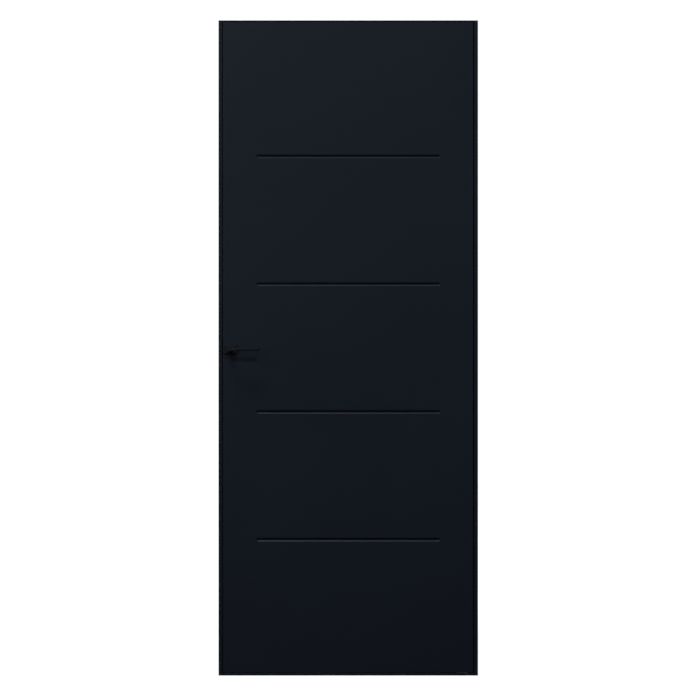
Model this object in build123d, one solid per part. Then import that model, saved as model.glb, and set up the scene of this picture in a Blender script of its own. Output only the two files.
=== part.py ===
from build123d import *
import math
import os

# An interior door in its slim frame, in millimetres.
# X runs to the right, Y into the wall and Z up, and the viewer stands on the -Y side.
# The origin is on the floor, at the middle of the frame's width and of the leaf's thickness.

# Leaf
leaf_width = 800.0
leaf_height = 2076.0
leaf_thickness = 40.0
skin_thickness = 8.0
lipping_thickness = 2.0
lipping_round = 1.9
hinge_stile_width = 45.0
lock_stile_width = 70.0
rail_width = 45.0
core_hole_radius = 9.0
core_hole_pitch = 48.0

# Grooves in both skins
groove_count = 4
groove_pitch = 408.0
groove_length = 588.0
groove_width = 12.0
groove_depth = 5.5

# Gaps round the leaf
lock_gap = 2.0
hinge_gap = 2.5
head_gap = 2.0
sill_gap = 3.0

# Frame sections
jamb_face = 12.0
frame_wall = 1.6
stop_width = 9.0
stop_depth = 16.0
web_setback = 4.0
head_thickness = 3.0
head_stop_height = 14.0
sill_height = 8.0
sill_top_wall = 4.0
sill_chamfer = 1.0
edge_round = 0.6
clip_inset = 3.5
clip_slot_width = 3.8
clip_foot_width = 5.4
clip_foot_depth = 1.1
clip_fit = 0.1
head_clip_lip = 1.0

# Seals in the stops
seal_gap = 1.6
seal_bulb_width = 7.0
seal_bulb_height = 2.4
seal_wall = 0.8
seal_slot_width = 3.2
seal_slot_depth = 1.2
seal_foot_width = 5.2
seal_foot_depth = 2.2
seal_fit = 0.1

# Screws that join the frame's corners, and the holes that fix it to the wall
corner_screw_radius = 1.95
corner_screw_head_radius = 3.3
corner_screw_head_height = 2.2
corner_screw_length = 22.0
corner_port_radius = 2.0
corner_port_wall = 0.8
corner_port_inset = 1.8
corner_clearance_radius = 2.15
corner_access_radius = 3.8
sill_foot_width = 8.0
sill_port_places = (8.0, 34.0)
fixing_hole_radius = 3.2
fixing_spread_outer = 1700.0
fixing_spread_inner = 600.0

# Pivots, hidden in the hinge corner
pivot_edge_inset = 11.0
pivot_front_inset = 8.0
pivot_pin_radius = 3.5
pivot_running_fit = 0.05
pivot_plate_length = 54.0
pivot_plate_width = 12.0
pivot_plate_thickness = 3.0
pivot_plate_round = 3.0
pivot_plate_reach = 12.0
pivot_collar_radius = 6.0
pivot_collar_height = 2.0
pivot_pin_rise = 16.0
pivot_tip_chamfer = 0.8
washer_lift = 0.1
block_length = 100.0
block_width = 22.0
block_height = 20.0
block_round = 5.0
block_front_cover = 2.5
block_fit = 0.15
block_screw_places = (30.0, 55.0, 80.0)
wood_screw_radius = 2.0
wood_screw_head_radius = 3.6
wood_screw_length = 40.0
wood_pilot_clearance = 0.05
plate_screw_places = (19.0, 37.0)
plate_screw_radius = 1.7
plate_screw_head_radius = 3.2
plate_screw_length = 6.6
bush_radius = 5.5
bush_flange_radius = 7.0
bush_flange_height = 1.2
bush_fit = 0.03
top_pin_length = 19.5
top_pin_recess = 0.3
grub_radius = 2.0
grub_access_radius = 2.6
grub_depth = 10.0
grub_fit = 0.05

# Handle
handle_height = 1042.0
backset = 24.0
lever_range = 38.0
spindle_side = 8.0
spindle_fit = 0.1
spindle_reach = 13.0
rose_width = 42.0
rose_height = 27.0
rose_depth = 8.5
rose_wall = 1.3
rose_round = 3.0
rose_edge_round = 1.2
rose_fit = 0.2
rose_screw_across = 15.0
rose_screw_rise = 7.5
rose_screw_radius = 1.75
rose_screw_head_radius = 3.2
rose_screw_head_height = 2.4
rose_screw_fit = 0.1
rose_screw_length = 11.0
journal_radius = 8.0
journal_start = 1.0
journal_fit = 0.06
collar_radius = 10.0
collar_gap = 0.4
collar_height = 5.0
collar_round = 1.0
cover_hole_gap = 0.6
lever_reach = 96.0
lever_stand_off = 50.0
neck_start = 10.0
neck_straight = 17.0
neck_shift = 24.0
bar_height = 10.5
bar_depth = 10.0
bar_upper_round = 0.6
bar_lower_round = 3.0
bend_near = 12.0
bend_far = 14.0
bar_tip_chamfer = 0.5
lever_grub_radius = 1.5
lever_grub_length = 4.5
spindle_hole_radius = 9.0

# Mortise latch
bolt_throw = 10.5
bolt_height = 13.0
bolt_thickness = 11.4
bolt_flat_tip = 2.0
bolt_bevel_depth = 9.5
follower_radius = 8.0
follower_relief = 0.3
arm_tip_radius = 3.0
arm_root_width = 7.0
arm_thickness = 8.0
arm_gap = 0.4
bridge_gap = 1.0
bridge_height = 4.0
front_leg_gap = 0.3
front_leg_width = 3.7
drive_leg_width = 5.0
drive_leg_drop = 0.9
case_wall = 1.5
case_thickness = 15.0
case_bottom_drop = 15.0
case_play = 0.2
case_pocket_gap = 0.3
spring_solid_length = 6.6
spring_radius = 2.9
spring_wire = 0.8
spring_turns = 5
spring_end_gap = 0.1
spring_peg_radius = 2.2
spring_peg_height = 2.0
spring_drop = 5.8
case_boss_radius = 2.8
case_screw_radius = 1.25
case_screw_head_radius = 2.3
case_screw_fit = 0.05
case_rear_boss_inset = 3.6
case_low_boss_rise = 5.0
case_high_boss_rise = 23.5
case_front_boss_inset = 14.0
faceplate_thickness = 3.0
faceplate_width = 20.0
faceplate_height = 140.0
faceplate_fit = 0.1
faceplate_screw_spacing = 120.0
faceplate_screw_length = 25.0

# Strike in the lock jamb
strike_width = 20.0
strike_height = 110.0
strike_fit = 0.1
strike_bolt_play = 1.5
strike_front_play = 0.5
strike_screw_spacing = 84.0
strike_screw_radius = 2.0
strike_screw_head_radius = 3.6
strike_screw_length = 8.0
lip_height = 40.0
lip_round = 3.0
strike_box_depth = 8.6
strike_box_front = 14.0
strike_box_back = 12.0
strike_box_height = 104.0
strike_box_floor = 0.7
strike_box_play = 2.0

# Places that follow from the sizes above
frame_width = 2 * jamb_face + lock_gap + leaf_width + hinge_gap
frame_height = sill_height + sill_gap + leaf_height + head_gap + head_thickness
leaf_front = -leaf_thickness / 2
leaf_back = leaf_thickness / 2
frame_front = leaf_front
stop_front = leaf_back + seal_gap + seal_bulb_height
frame_back = stop_front + stop_depth
frame_left = -frame_width / 2
jamb_line = frame_width / 2 - jamb_face
leaf_left = -jamb_line + lock_gap
leaf_right = leaf_left + leaf_width
leaf_bottom = sill_height + sill_gap
leaf_top = leaf_bottom + leaf_height
head_line = frame_height - head_thickness
head_stop_line = head_line - head_stop_height
web_line = leaf_back - web_setback
seal_line = stop_width / 2
groove_back = stop_front + seal_slot_depth + seal_foot_depth
clip_line = stop_front + clip_inset
head_port_y = (groove_back + frame_back) / 2
pivot_x = leaf_right - pivot_edge_inset
pivot_y = leaf_front + pivot_front_inset
spindle_x = leaf_left + backset
arm_radius = bolt_throw / math.sin(math.radians(lever_range))
case_front = faceplate_thickness
case_inner_front = case_front + case_wall
drive_leg_front = backset + arm_tip_radius + arm_gap
drive_leg_back = drive_leg_front + drive_leg_width
case_inner_back = drive_leg_back + bolt_throw + spring_solid_length
case_back = case_inner_back + case_wall
bridge_bottom = arm_radius + arm_tip_radius + bridge_gap
bridge_top = bridge_bottom + bridge_height
drive_leg_bottom = arm_radius * math.cos(math.radians(lever_range)) - drive_leg_drop
case_inner_top = bridge_top + case_play
case_top = case_inner_top + case_wall
case_inner_bottom = case_wall - case_bottom_drop
case_half = case_thickness / 2
case_inner_half = case_half - case_wall
spring_z = bridge_top - spring_drop
faceplate_centre = (case_top - case_bottom_drop) / 2
strike_half = strike_width / 2


def rect(a0, a1, b0, b1):
    """A flat rectangle between two corners."""
    return Pos((a0 + a1) / 2, (b0 + b1) / 2) * Rectangle(a1 - a0, b1 - b0)


def block(x0, x1, y0, y1, z0, z1):
    """A box between two corners."""
    return Pos(0, 0, z0) * extrude(rect(x0, x1, y0, y1), z1 - z0)


def rod_x(radius, x0, x1, y, z):
    """A round bar along X."""
    return Pos((x0 + x1) / 2, y, z) * Rot(0, 90, 0) * Cylinder(radius, x1 - x0)


def rod_y(radius, y0, y1, x, z):
    """A round bar along Y."""
    return Pos(x, (y0 + y1) / 2, z) * Rot(90, 0, 0) * Cylinder(radius, y1 - y0)


def rod_z(radius, z0, z1, x, y):
    """A round bar along Z."""
    return Pos(x, y, (z0 + z1) / 2) * Cylinder(radius, z1 - z0)


def screw(radius, head_radius, length):
    """A countersunk screw that points down, with the top of its head at the origin."""
    head = head_radius - radius
    outline = Polygon(
        (0, 0), (head_radius, 0), (radius, -head), (radius, -length), (0, -length), align=None
    )
    return revolve(Plane.XZ * outline, Axis.Z)


def group(solids):
    """Separate solids that share one node."""
    return Compound(children=list(solids))


# Grooved skins


def groove_cutter(z):
    """A V-groove with the half-cone ends that a V-shaped cutter leaves, in the front face."""
    over = 1.0
    half = groove_width / 2 * (1 + over / groove_depth)
    straight = groove_length - groove_width
    outline = Polygon(
        (leaf_front - over, z - half),
        (leaf_front + groove_depth, z),
        (leaf_front - over, z + half),
        align=None,
    )
    cutter = Pos(-straight / 2, 0, 0) * extrude(Plane.YZ * outline, straight)
    cone = Rot(-90, 0, 0) * Cone(half, 0, groove_depth + over)
    middle_y = leaf_front + (groove_depth - over) / 2
    for side in (-1, 1):
        cutter += Pos(side * straight / 2, middle_y, z) * cone
    return cutter


def grooved_board():
    """A skin on the leaf's front with its grooves."""
    board = block(
        leaf_left + lipping_thickness,
        leaf_right - lipping_thickness,
        leaf_front,
        leaf_front + skin_thickness,
        leaf_bottom,
        leaf_top,
    )
    for n in range(groove_count):
        place = (n - (groove_count - 1) / 2) * groove_pitch
        board -= groove_cutter(frame_height / 2 + place)
    return board


def skins():
    """Both skins, pierced for the handle; the pivot blocks are let into the front one's back."""
    board = grooved_board()
    holes = handle_holes()
    return {
        "front_skin": board - holes - pivot_pockets(),
        "back_skin": mirror(board, Plane.XZ) - holes,
    }


def handle_holes():
    """The hole through the leaf for the spindle, and the pilot holes for the roses' screws."""
    holes = rod_y(spindle_hole_radius, leaf_front - 1, leaf_back + 1, spindle_x, handle_height)
    depth = rose_screw_length + 1
    for x, z in rose_screw_places():
        radius = rose_screw_radius + wood_pilot_clearance
        pilot = rod_z(radius, -depth, 1, x, z)
        holes += at_front(pilot)
        holes += at_back(pilot)
    return holes


# Wooden frame and core of the leaf


def mortise():
    """The pocket for the lock case and the shallow recess for its faceplate."""
    gap = case_pocket_gap
    pocket = block(
        leaf_left - 1,
        leaf_left + case_back + gap,
        -case_half - gap,
        case_half + gap,
        handle_height - case_bottom_drop - gap,
        handle_height + case_top + gap,
    )
    recess = extrude(faceplate_outline(faceplate_fit), faceplate_thickness + 1)
    pilots = [
        rod_x(
            wood_screw_radius + wood_pilot_clearance,
            leaf_left,
            leaf_left + faceplate_screw_length + 1,
            0,
            z,
        )
        for z in faceplate_screw_heights()
    ]
    return pocket + Pos(-1, 0, 0) * recess + pilots


def block_outline(fit):
    """The pivot block seen from above: square at the hinge edge, rounded at its inner end."""
    outline = rect(
        pivot_x + pivot_edge_inset - lipping_thickness - block_length - fit,
        pivot_x + pivot_edge_inset - lipping_thickness,
        leaf_front + block_front_cover - fit,
        leaf_front + block_front_cover + block_width + fit,
    )
    inner = outline.vertices().sort_by(Axis.X)[:2]
    return fillet(inner, block_round)


def block_screws():
    """The places of the wood screws along a pivot block."""
    y = leaf_front + block_front_cover + block_width / 2
    return [(pivot_x - step, y) for step in block_screw_places]


def pivot_pockets():
    """The pockets for both pivot blocks with the pilot holes beyond them."""
    outline = block_outline(block_fit)
    pockets = Pos(0, 0, leaf_bottom - 1) * extrude(outline, block_height + 1 + block_fit)
    pockets += Pos(0, 0, leaf_top - block_height - block_fit) * extrude(
        outline, block_height + 1 + block_fit
    )
    radius = wood_screw_radius + wood_pilot_clearance
    for x, y in block_screws():
        pockets += rod_z(radius, leaf_bottom, leaf_bottom + wood_screw_length + 1, x, y)
        pockets += rod_z(radius, leaf_top - wood_screw_length - 1, leaf_top, x, y)
    return pockets


def leaf_frame():
    """The stiles, rails and the tubular core between the two skins."""
    left = leaf_left + lipping_thickness
    right = leaf_right - lipping_thickness
    front = leaf_front + skin_thickness
    back = leaf_back - skin_thickness
    inner_left = left + lock_stile_width
    inner_right = right - hinge_stile_width
    inner_bottom = leaf_bottom + rail_width
    inner_top = leaf_top - rail_width
    pockets = pivot_pockets()
    lock_stile = block(left, inner_left, front, back, leaf_bottom, leaf_top)
    hinge_stile = block(inner_right, right, front, back, leaf_bottom, leaf_top)
    bottom_rail = block(inner_left, inner_right, front, back, leaf_bottom, inner_bottom)
    top_rail = block(inner_left, inner_right, front, back, inner_top, leaf_top)
    sheet = rect(inner_left, inner_right, front, back)
    holes = int((inner_right - inner_left) // core_hole_pitch)
    middle = Pos((inner_left + inner_right) / 2, 0)
    sheet -= middle * GridLocations(core_hole_pitch, 1, holes, 1) * Circle(core_hole_radius)
    core = Pos(0, 0, inner_bottom) * extrude(sheet, inner_top - inner_bottom)
    return {
        "lock_stile": lock_stile - mortise() - handle_holes(),
        "hinge_stile": hinge_stile - pockets,
        "bottom_rail": bottom_rail - pockets,
        "top_rail": top_rail - pockets,
        "core": core,
    }


def lipping(x0, outer_side):
    """A strip over the edges of both skins and the stile, with rounded outer corners."""
    outline = rect(x0, x0 + lipping_thickness, leaf_front, leaf_back)
    corners = outline.vertices().sort_by(Axis.X)
    outer = corners[:2] if outer_side < 0 else corners[2:]
    return Pos(0, 0, leaf_bottom) * extrude(fillet(outer, lipping_round), leaf_height)


def lippings():
    """The lock edge takes the faceplate, the hinge edge the access hole to the grub screw."""
    access = rod_x(grub_access_radius, pivot_x, leaf_right + 1, pivot_y, leaf_top - grub_depth)
    return {
        "lock_lipping": lipping(leaf_left, -1) - mortise(),
        "hinge_lipping": lipping(leaf_right - lipping_thickness, 1) - access,
    }


# Frame


def tee(stem_width, stem_depth, foot_width, foot_depth, fit=0.0, start=0.0):
    """A T-shaped rib or groove that points along +Y, smaller all round by a fit."""
    end = stem_depth + foot_depth - fit
    stem = stem_width / 2 - fit
    foot = foot_width / 2 - fit
    return rect(-stem, stem, start, end) + rect(-foot, foot, stem_depth + fit, end)


def seal_tee(**place):
    """The shape of the seals' undercut groove and of the foot that locks in it."""
    return tee(seal_slot_width, seal_slot_depth, seal_foot_width, seal_foot_depth, **place)


def clip_tee(lip, **place):
    """The rib that clips a stop behind a lip, and the groove for it."""
    return tee(clip_slot_width, lip, clip_foot_width, clip_foot_depth, **place)


def seal_section():
    """A hollow bulb on a stem with a foot that locks in the groove."""
    half = seal_bulb_width / 2
    bulb = Ellipse(half, seal_bulb_height) & rect(-half, half, -seal_bulb_height, 0)
    hollow = Ellipse(half - seal_wall, seal_bulb_height - seal_wall)
    bulb -= hollow & rect(-half, half, -seal_bulb_height, -seal_wall)
    return bulb + seal_tee(fit=seal_fit)


def jamb_section():
    """The jamb from above: a hollow bar with two chambers, slotted for its stop's rib."""
    outline = rect(0, jamb_face, frame_front, frame_back)
    front = outline.vertices().sort_by(Axis.Y)[:2]
    outline = fillet(front, edge_round)
    inner = jamb_face - frame_wall
    outline -= rect(frame_wall, inner, frame_front + frame_wall, web_line)
    outline -= rect(frame_wall, inner, web_line + frame_wall, frame_back - frame_wall)
    slot = clip_slot_width / 2
    return outline - rect(inner - 1, jamb_face + 1, clip_line - slot, clip_line + slot)


def stop_section():
    """The left stop from above: a hollow bar with the seal's groove and a rib that clips it on."""
    outline = rect(0, stop_width, stop_front, frame_back)
    outline -= rect(
        frame_wall, stop_width - frame_wall, groove_back + frame_wall, frame_back - frame_wall
    )
    outline -= Pos(seal_line, stop_front) * seal_tee(start=-1)
    return outline + Pos(0, clip_line) * Rot(0, 0, 90) * clip_tee(frame_wall, fit=clip_fit)


def head_port_heights():
    """The two screw ports of the head, on the floor and under the roof of its chamber."""
    low = head_stop_line + frame_wall + corner_port_inset
    high = head_line - frame_wall - corner_port_inset
    return low, high


def corner_screw_places():
    """Where the corner screws stand, as depth and height."""
    places = [(head_port_y, z) for z in head_port_heights()]
    return places + [(y, sill_height / 2) for y in sill_port_places]


def fixing_heights():
    """The wall fixings, in two pairs about the middle of the frame's height."""
    spreads = (-fixing_spread_outer, -fixing_spread_inner, fixing_spread_inner, fixing_spread_outer)
    return [(frame_height + spread) / 2 for spread in spreads]


def jamb():
    """A jamb on the left, with the holes for the corner screws and the wall fixings."""
    bar = extrude(jamb_section(), frame_height)
    for y, z in corner_screw_places():
        bar -= rod_x(corner_clearance_radius, jamb_face - 2 * frame_wall, jamb_face + 1, y, z)
        bar -= rod_x(corner_access_radius, -1, frame_wall + 1, y, z)
    for z in fixing_heights():
        bar -= rod_x(fixing_hole_radius, -1, jamb_face + 1, 0, z)
    return Pos(frame_left, 0, 0) * bar


def jamb_stop():
    """The left stop, which stands on the sill and ends under the head's stop."""
    return Pos(-jamb_line, 0, sill_height) * extrude(stop_section(), head_stop_line - sill_height)


def strike_cut_out():
    """The opening in the lock jamb's inner wall, and the notch for the lip at its front corner."""
    fit = strike_fit
    half = strike_height / 2 + fit
    opening = block(
        -jamb_line - frame_wall,
        -jamb_line + 1,
        -strike_half - fit,
        strike_half + fit,
        handle_height - half,
        handle_height + half,
    )
    lip_half = lip_height / 2 + fit
    notch = block(
        -jamb_line - lip_round - fit,
        -jamb_line + 1,
        frame_front - 1,
        -strike_half,
        handle_height - lip_half,
        handle_height + lip_half,
    )
    return opening + notch


def head_plate():
    """The thin head, with a groove for its stop's rib and the seat of the pivot bush."""
    section = rect(frame_front, frame_back, head_line, frame_height)
    section -= Pos(clip_line, head_line) * clip_tee(head_clip_lip, start=-1)
    bar = Pos(-jamb_line, 0, 0) * extrude(Plane.YZ * section, 2 * jamb_line)
    return bar - rod_z(bush_radius + bush_fit, head_line - 1, frame_height + 1, pivot_x, pivot_y)


def head_stop():
    """The head's hollow stop, which carries the ports of the upper corner screws."""
    section = rect(stop_front, frame_back, head_stop_line, head_line)
    section -= rect(
        groove_back + frame_wall,
        frame_back - frame_wall,
        head_stop_line + frame_wall,
        head_line - frame_wall,
    )
    for z in head_port_heights():
        section += Pos(head_port_y, z) * Circle(corner_port_radius + corner_port_wall)
    for z in head_port_heights():
        section -= Pos(head_port_y, z) * Circle(corner_port_radius)
    section -= Pos(stop_front, head_stop_line + seal_line) * Rot(0, 0, -90) * seal_tee(start=-1)
    section += Pos(clip_line, head_line) * clip_tee(head_clip_lip, fit=clip_fit)
    return Pos(-jamb_line, 0, 0) * extrude(Plane.YZ * section, 2 * jamb_line)


def sill():
    """A low sill: a top plate on three feet, with a port in each of the two rear feet."""
    half = sill_foot_width / 2
    middle, rear = sill_port_places
    section = rect(frame_front, frame_back, sill_height - sill_top_wall, sill_height)
    section += rect(frame_front, pivot_y + half, 0, sill_height)
    section += rect(middle - half, middle + half, 0, sill_height)
    section += rect(rear - half, frame_back, 0, sill_height)
    upper_front = section.vertices().filter_by_position(Axis.X, frame_front - 1, frame_front + 1)
    section = chamfer(upper_front.sort_by(Axis.Y)[-1:], sill_chamfer)
    for y in sill_port_places:
        section -= Pos(y, sill_height / 2) * Circle(corner_port_radius)
    bar = Pos(-jamb_line, 0, 0) * extrude(Plane.YZ * section, 2 * jamb_line)
    recess_floor = sill_height - pivot_plate_thickness
    bar -= Pos(0, 0, recess_floor) * extrude(pivot_plate_outline(block_fit), sill_height)
    for x in plate_screw_xs():
        radius = plate_screw_radius + wood_pilot_clearance
        bar -= rod_z(radius, sill_height - plate_screw_length - 0.2, sill_height, x, pivot_y)
    return bar


def frame_screws():
    """Eight screws from inside the jambs' chambers into the ports of the head and the sill."""
    seat = -jamb_line - frame_wall
    left = []
    for y, z in corner_screw_places():
        body = rod_x(corner_screw_radius, seat, seat + corner_screw_length, y, z)
        head = rod_x(corner_screw_head_radius, seat - corner_screw_head_height, seat, y, z)
        left.append(body + head)
    return group(left + [mirror(one, Plane.YZ) for one in left])


def seals():
    """The three seals, on the stops of both jambs and of the head."""
    side = extrude(seal_section(), head_stop_line - sill_height)
    lock_seal = Pos(-jamb_line + seal_line, stop_front, sill_height) * side
    middle = Pos(stop_front, head_stop_line + seal_line) * Rot(0, 0, -90)
    across = 2 * (jamb_line - stop_width)
    head_seal = extrude(Plane.YZ * middle * mirror(seal_section(), Plane.YZ), across)
    return {
        "lock_seal": lock_seal,
        "hinge_seal": mirror(lock_seal, Plane.YZ),
        "head_seal": Pos(-across / 2, 0, 0) * head_seal,
    }


# Strike


def strike_bolt_opening(depth_from, depth_to, play):
    """A hole for the latch bolt, tight at the front, where the bolt bears."""
    half = bolt_height / 2 + play
    return block(
        depth_from,
        depth_to,
        -bolt_thickness / 2 - strike_front_play,
        bolt_thickness / 2 + play,
        handle_height - half,
        handle_height + half,
    )


def strike_screw_heights():
    """The strike's screws stand above and below the bolt."""
    return [handle_height + side * strike_screw_spacing / 2 for side in (-1, 1)]


def strike_plate():
    """A flush plate whose lip runs to the jamb's front corner and curls round it."""
    inner = -jamb_line - frame_wall
    plate = block(
        inner,
        -jamb_line,
        -strike_half,
        strike_half,
        handle_height - strike_height / 2,
        handle_height + strike_height / 2,
    )
    bend_x = -jamb_line - lip_round
    bend_y = frame_front + lip_round
    tight = lip_round - frame_wall
    start_y = 1 - strike_half
    lip = make_face(
        [
            Line((-jamb_line, start_y), (-jamb_line, bend_y)),
            CenterArc((bend_x, bend_y), lip_round, 0, -90),
            Line((bend_x, frame_front), (bend_x, frame_front + frame_wall)),
            CenterArc((bend_x, bend_y), tight, -90, 90),
            Line((inner, bend_y), (inner, start_y)),
            Line((inner, start_y), (-jamb_line, start_y)),
        ]
    )
    plate += Pos(0, 0, handle_height - lip_height / 2) * extrude(lip, lip_height)
    plate -= strike_bolt_opening(inner - 1, 1 - jamb_line, strike_bolt_play)
    for screw_place in strike_screw_set(strike_fit):
        plate -= screw_place
    return plate


def strike_screw_set(extra):
    """The two countersunk screws of the strike, or their holes where extra is a clearance."""
    one = screw(strike_screw_radius + extra, strike_screw_head_radius + extra, strike_screw_length)
    return [Pos(-jamb_line, 0, z) * Rot(0, 90, 0) * one for z in strike_screw_heights()]


def strike_box():
    """The block behind the strike: a pocket for the bolt and the threads of the screws."""
    face = -jamb_line - frame_wall
    box = block(
        face - strike_box_depth,
        face,
        -strike_box_front,
        strike_box_back,
        handle_height - strike_box_height / 2,
        handle_height + strike_box_height / 2,
    )
    box -= strike_bolt_opening(
        face - strike_box_depth + strike_box_floor, face + 1, strike_box_play
    )
    for screw_place in strike_screw_set(grub_fit):
        box -= screw_place
    return box


# Pivots


def pivot_plate_outline(fit):
    """The rounded plate that carries the bottom pin, seen from above."""
    middle_x = pivot_x + pivot_plate_reach - pivot_plate_length / 2
    size = (pivot_plate_length + 2 * fit, pivot_plate_width + 2 * fit)
    return Pos(middle_x, pivot_y) * RectangleRounded(*size, pivot_plate_round)


def plate_screw_xs():
    """The two screws of the bottom plate stand inwards from the pin."""
    return [pivot_x - step for step in plate_screw_places]


def plate_screw_set(extra):
    """The plate's countersunk screws, or their holes where extra is a clearance."""
    one = screw(plate_screw_radius + extra, plate_screw_head_radius + extra, plate_screw_length)
    return [Pos(x, pivot_y, sill_height) * one for x in plate_screw_xs()]


def bottom_pivot_plate():
    """The plate let into the sill, with a collar and the pin that carries the leaf."""
    plate_bottom = sill_height - pivot_plate_thickness
    plate = Pos(0, 0, plate_bottom) * extrude(pivot_plate_outline(0), pivot_plate_thickness)
    for hole in plate_screw_set(wood_pilot_clearance):
        plate -= hole
    collar_top = sill_height + pivot_collar_height
    plate += rod_z(pivot_collar_radius, plate_bottom, collar_top, pivot_x, pivot_y)
    pin = rod_z(pivot_pin_radius, plate_bottom, leaf_bottom + pivot_pin_rise, pivot_x, pivot_y)
    return plate + chamfer(pin.edges().sort_by(Axis.Z)[-1:], pivot_tip_chamfer)


def thrust_washer():
    """The plastic ring between the collar and the shoe."""
    bottom = sill_height + pivot_collar_height
    top = leaf_bottom - washer_lift
    ring = rod_z(pivot_collar_radius, bottom, top, pivot_x, pivot_y)
    return ring - rod_z(pivot_pin_radius + pivot_running_fit, bottom - 1, top + 1, pivot_x, pivot_y)


def block_screw_set(extra):
    """The wood screws of the bottom shoe, or their countersunk holes."""
    one = screw(wood_screw_radius + extra, wood_screw_head_radius + extra, wood_screw_length)
    return [Pos(x, y, leaf_bottom) * Rot(180, 0, 0) * one for x, y in block_screws()]


def to_top(shape):
    """The same shape upside down at the leaf's top edge."""
    return mirror(shape, Plane.XY.offset((leaf_bottom + leaf_top) / 2))


def pivot_block():
    """The metal block at the leaf's bottom corner, before its pin bore is made."""
    body = Pos(0, 0, leaf_bottom) * extrude(block_outline(0), block_height)
    for hole in block_screw_set(wood_pilot_clearance):
        body -= hole
    return body


def pivots():
    """The bottom shoe on its pin, and the top housing with the pin that stands up into the head."""
    bore = pivot_pin_radius + pivot_running_fit
    bore_top = leaf_bottom + pivot_pin_rise + 1
    shoe = pivot_block() - rod_z(bore, leaf_bottom - 1, bore_top, pivot_x, pivot_y)
    pin_bottom = frame_height - top_pin_recess - top_pin_length
    housing = to_top(pivot_block())
    housing -= rod_z(bore, pin_bottom, leaf_top + 1, pivot_x, pivot_y)
    grub_z = leaf_top - grub_depth
    grub_end = leaf_right - lipping_thickness
    housing -= rod_x(grub_radius + grub_fit, pivot_x, grub_end + 1, pivot_y, grub_z)
    pin = rod_z(pivot_pin_radius, pin_bottom, pin_bottom + top_pin_length, pivot_x, pivot_y)
    pin = chamfer(pin.edges().sort_by(Axis.Z)[-1:], pivot_tip_chamfer)
    screws = block_screw_set(0)
    grub = rod_x(grub_radius, pivot_x + pivot_pin_radius, grub_end, pivot_y, grub_z)
    return {
        "bottom_pivot_shoe": shoe,
        "top_pivot_housing": housing,
        "top_pivot_pin": pin,
        "pin_grub_screw": grub,
        "pivot_wood_screws": group(screws + [to_top(one) for one in screws]),
    }


def top_pivot_bush():
    """The flanged bush pressed into the head from below."""
    flange_bottom = head_line - bush_flange_height
    bush = rod_z(bush_radius, flange_bottom, frame_height, pivot_x, pivot_y)
    bush += rod_z(bush_flange_radius, flange_bottom, head_line, pivot_x, pivot_y)
    bore = pivot_pin_radius + pivot_running_fit
    return bush - rod_z(bore, flange_bottom - 1, frame_height + 1, pivot_x, pivot_y)


# Mortise latch, placed from the leaf's lock edge and the spindle's height


def at_lock(shape):
    """Moves a shape from the lock's own place to its place in the leaf."""
    return Pos(leaf_left, 0, handle_height) * shape


def follower_bore():
    """The bore in both case walls that bears the follower."""
    return rod_y(follower_radius + journal_fit, -case_thickness, case_thickness, backset, 0)


def case_boss_places():
    """The three screw bosses stand clear of the follower and of the bolt's tail."""
    low = case_low_boss_rise - case_bottom_drop
    rear = case_back - case_rear_boss_inset - case_wall
    high = case_high_boss_rise - case_bottom_drop
    return [(case_front + case_front_boss_inset, low), (rear, low), (rear, high)]


def lock_case():
    """A tray with a rim, an opening for the bolt, screw bosses and the spring's peg."""
    bottom = -case_bottom_drop
    tray = block(case_front, case_back, -case_inner_half, case_half, bottom, case_top)
    tray -= block(
        case_inner_front,
        case_inner_back,
        -case_half,
        case_inner_half,
        case_inner_bottom,
        case_inner_top,
    )
    tray -= bolt_passage(case_front - 1, case_inner_front + 1)
    for x, z in case_boss_places():
        tray += rod_y(case_boss_radius, -case_inner_half, case_inner_half, x, z)
    peg_start = case_inner_back - spring_peg_height
    tray += rod_x(spring_peg_radius, peg_start, case_inner_back + 1, 0, spring_z)
    tray -= follower_bore()
    for x, z in case_boss_places():
        tray -= rod_y(case_screw_radius + case_screw_fit, -case_half, case_inner_half, x, z)
    return at_lock(tray)


def case_screw_set(extra):
    """The three small screws of the case, or their countersunk holes."""
    one = screw(
        case_screw_radius + extra, case_screw_head_radius + extra, case_thickness - 2 * case_wall
    )
    return [Pos(x, -case_half, z) * Rot(90, 0, 0) * one for x, z in case_boss_places()]


def lock_cover():
    """The flat cover that closes the tray."""
    bottom = -case_bottom_drop
    cover = block(case_front, case_back, -case_half, -case_inner_half, bottom, case_top)
    cover -= follower_bore()
    for hole in case_screw_set(case_screw_fit):
        cover -= hole
    return at_lock(cover)


def bolt_passage(x0, x1):
    """The hole that guides the latch bolt in the case's rim and in the faceplate."""
    half_height = bolt_height / 2 + case_play
    half_width = bolt_thickness / 2 + case_play
    return block(x0, x1, -half_width, half_width, -half_height, half_height)


def faceplate_outline(fit):
    """The faceplate's round-ended outline on the lock edge."""
    size = (faceplate_height + 2 * fit, faceplate_width + 2 * fit)
    outline = Rot(0, 0, 90) * SlotOverall(*size)
    return Pos(leaf_left, 0, handle_height + faceplate_centre) * (Plane.YZ * outline)


def faceplate_screw_heights():
    """The faceplate's screws stand near its two ends."""
    middle = handle_height + faceplate_centre
    return [middle + side * faceplate_screw_spacing / 2 for side in (-1, 1)]


def faceplate_screw_set(extra):
    """The faceplate's countersunk screws, or their holes."""
    one = screw(wood_screw_radius + extra, wood_screw_head_radius + extra, faceplate_screw_length)
    return [Pos(leaf_left, 0, z) * Rot(0, -90, 0) * one for z in faceplate_screw_heights()]


def faceplate():
    """The plate flush in the lock edge, with the bolt's opening and two screw holes."""
    plate = extrude(faceplate_outline(0), faceplate_thickness)
    plate -= at_lock(bolt_passage(-1, faceplate_thickness + 1))
    for hole in faceplate_screw_set(wood_pilot_clearance):
        plate -= hole
    return plate


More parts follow.
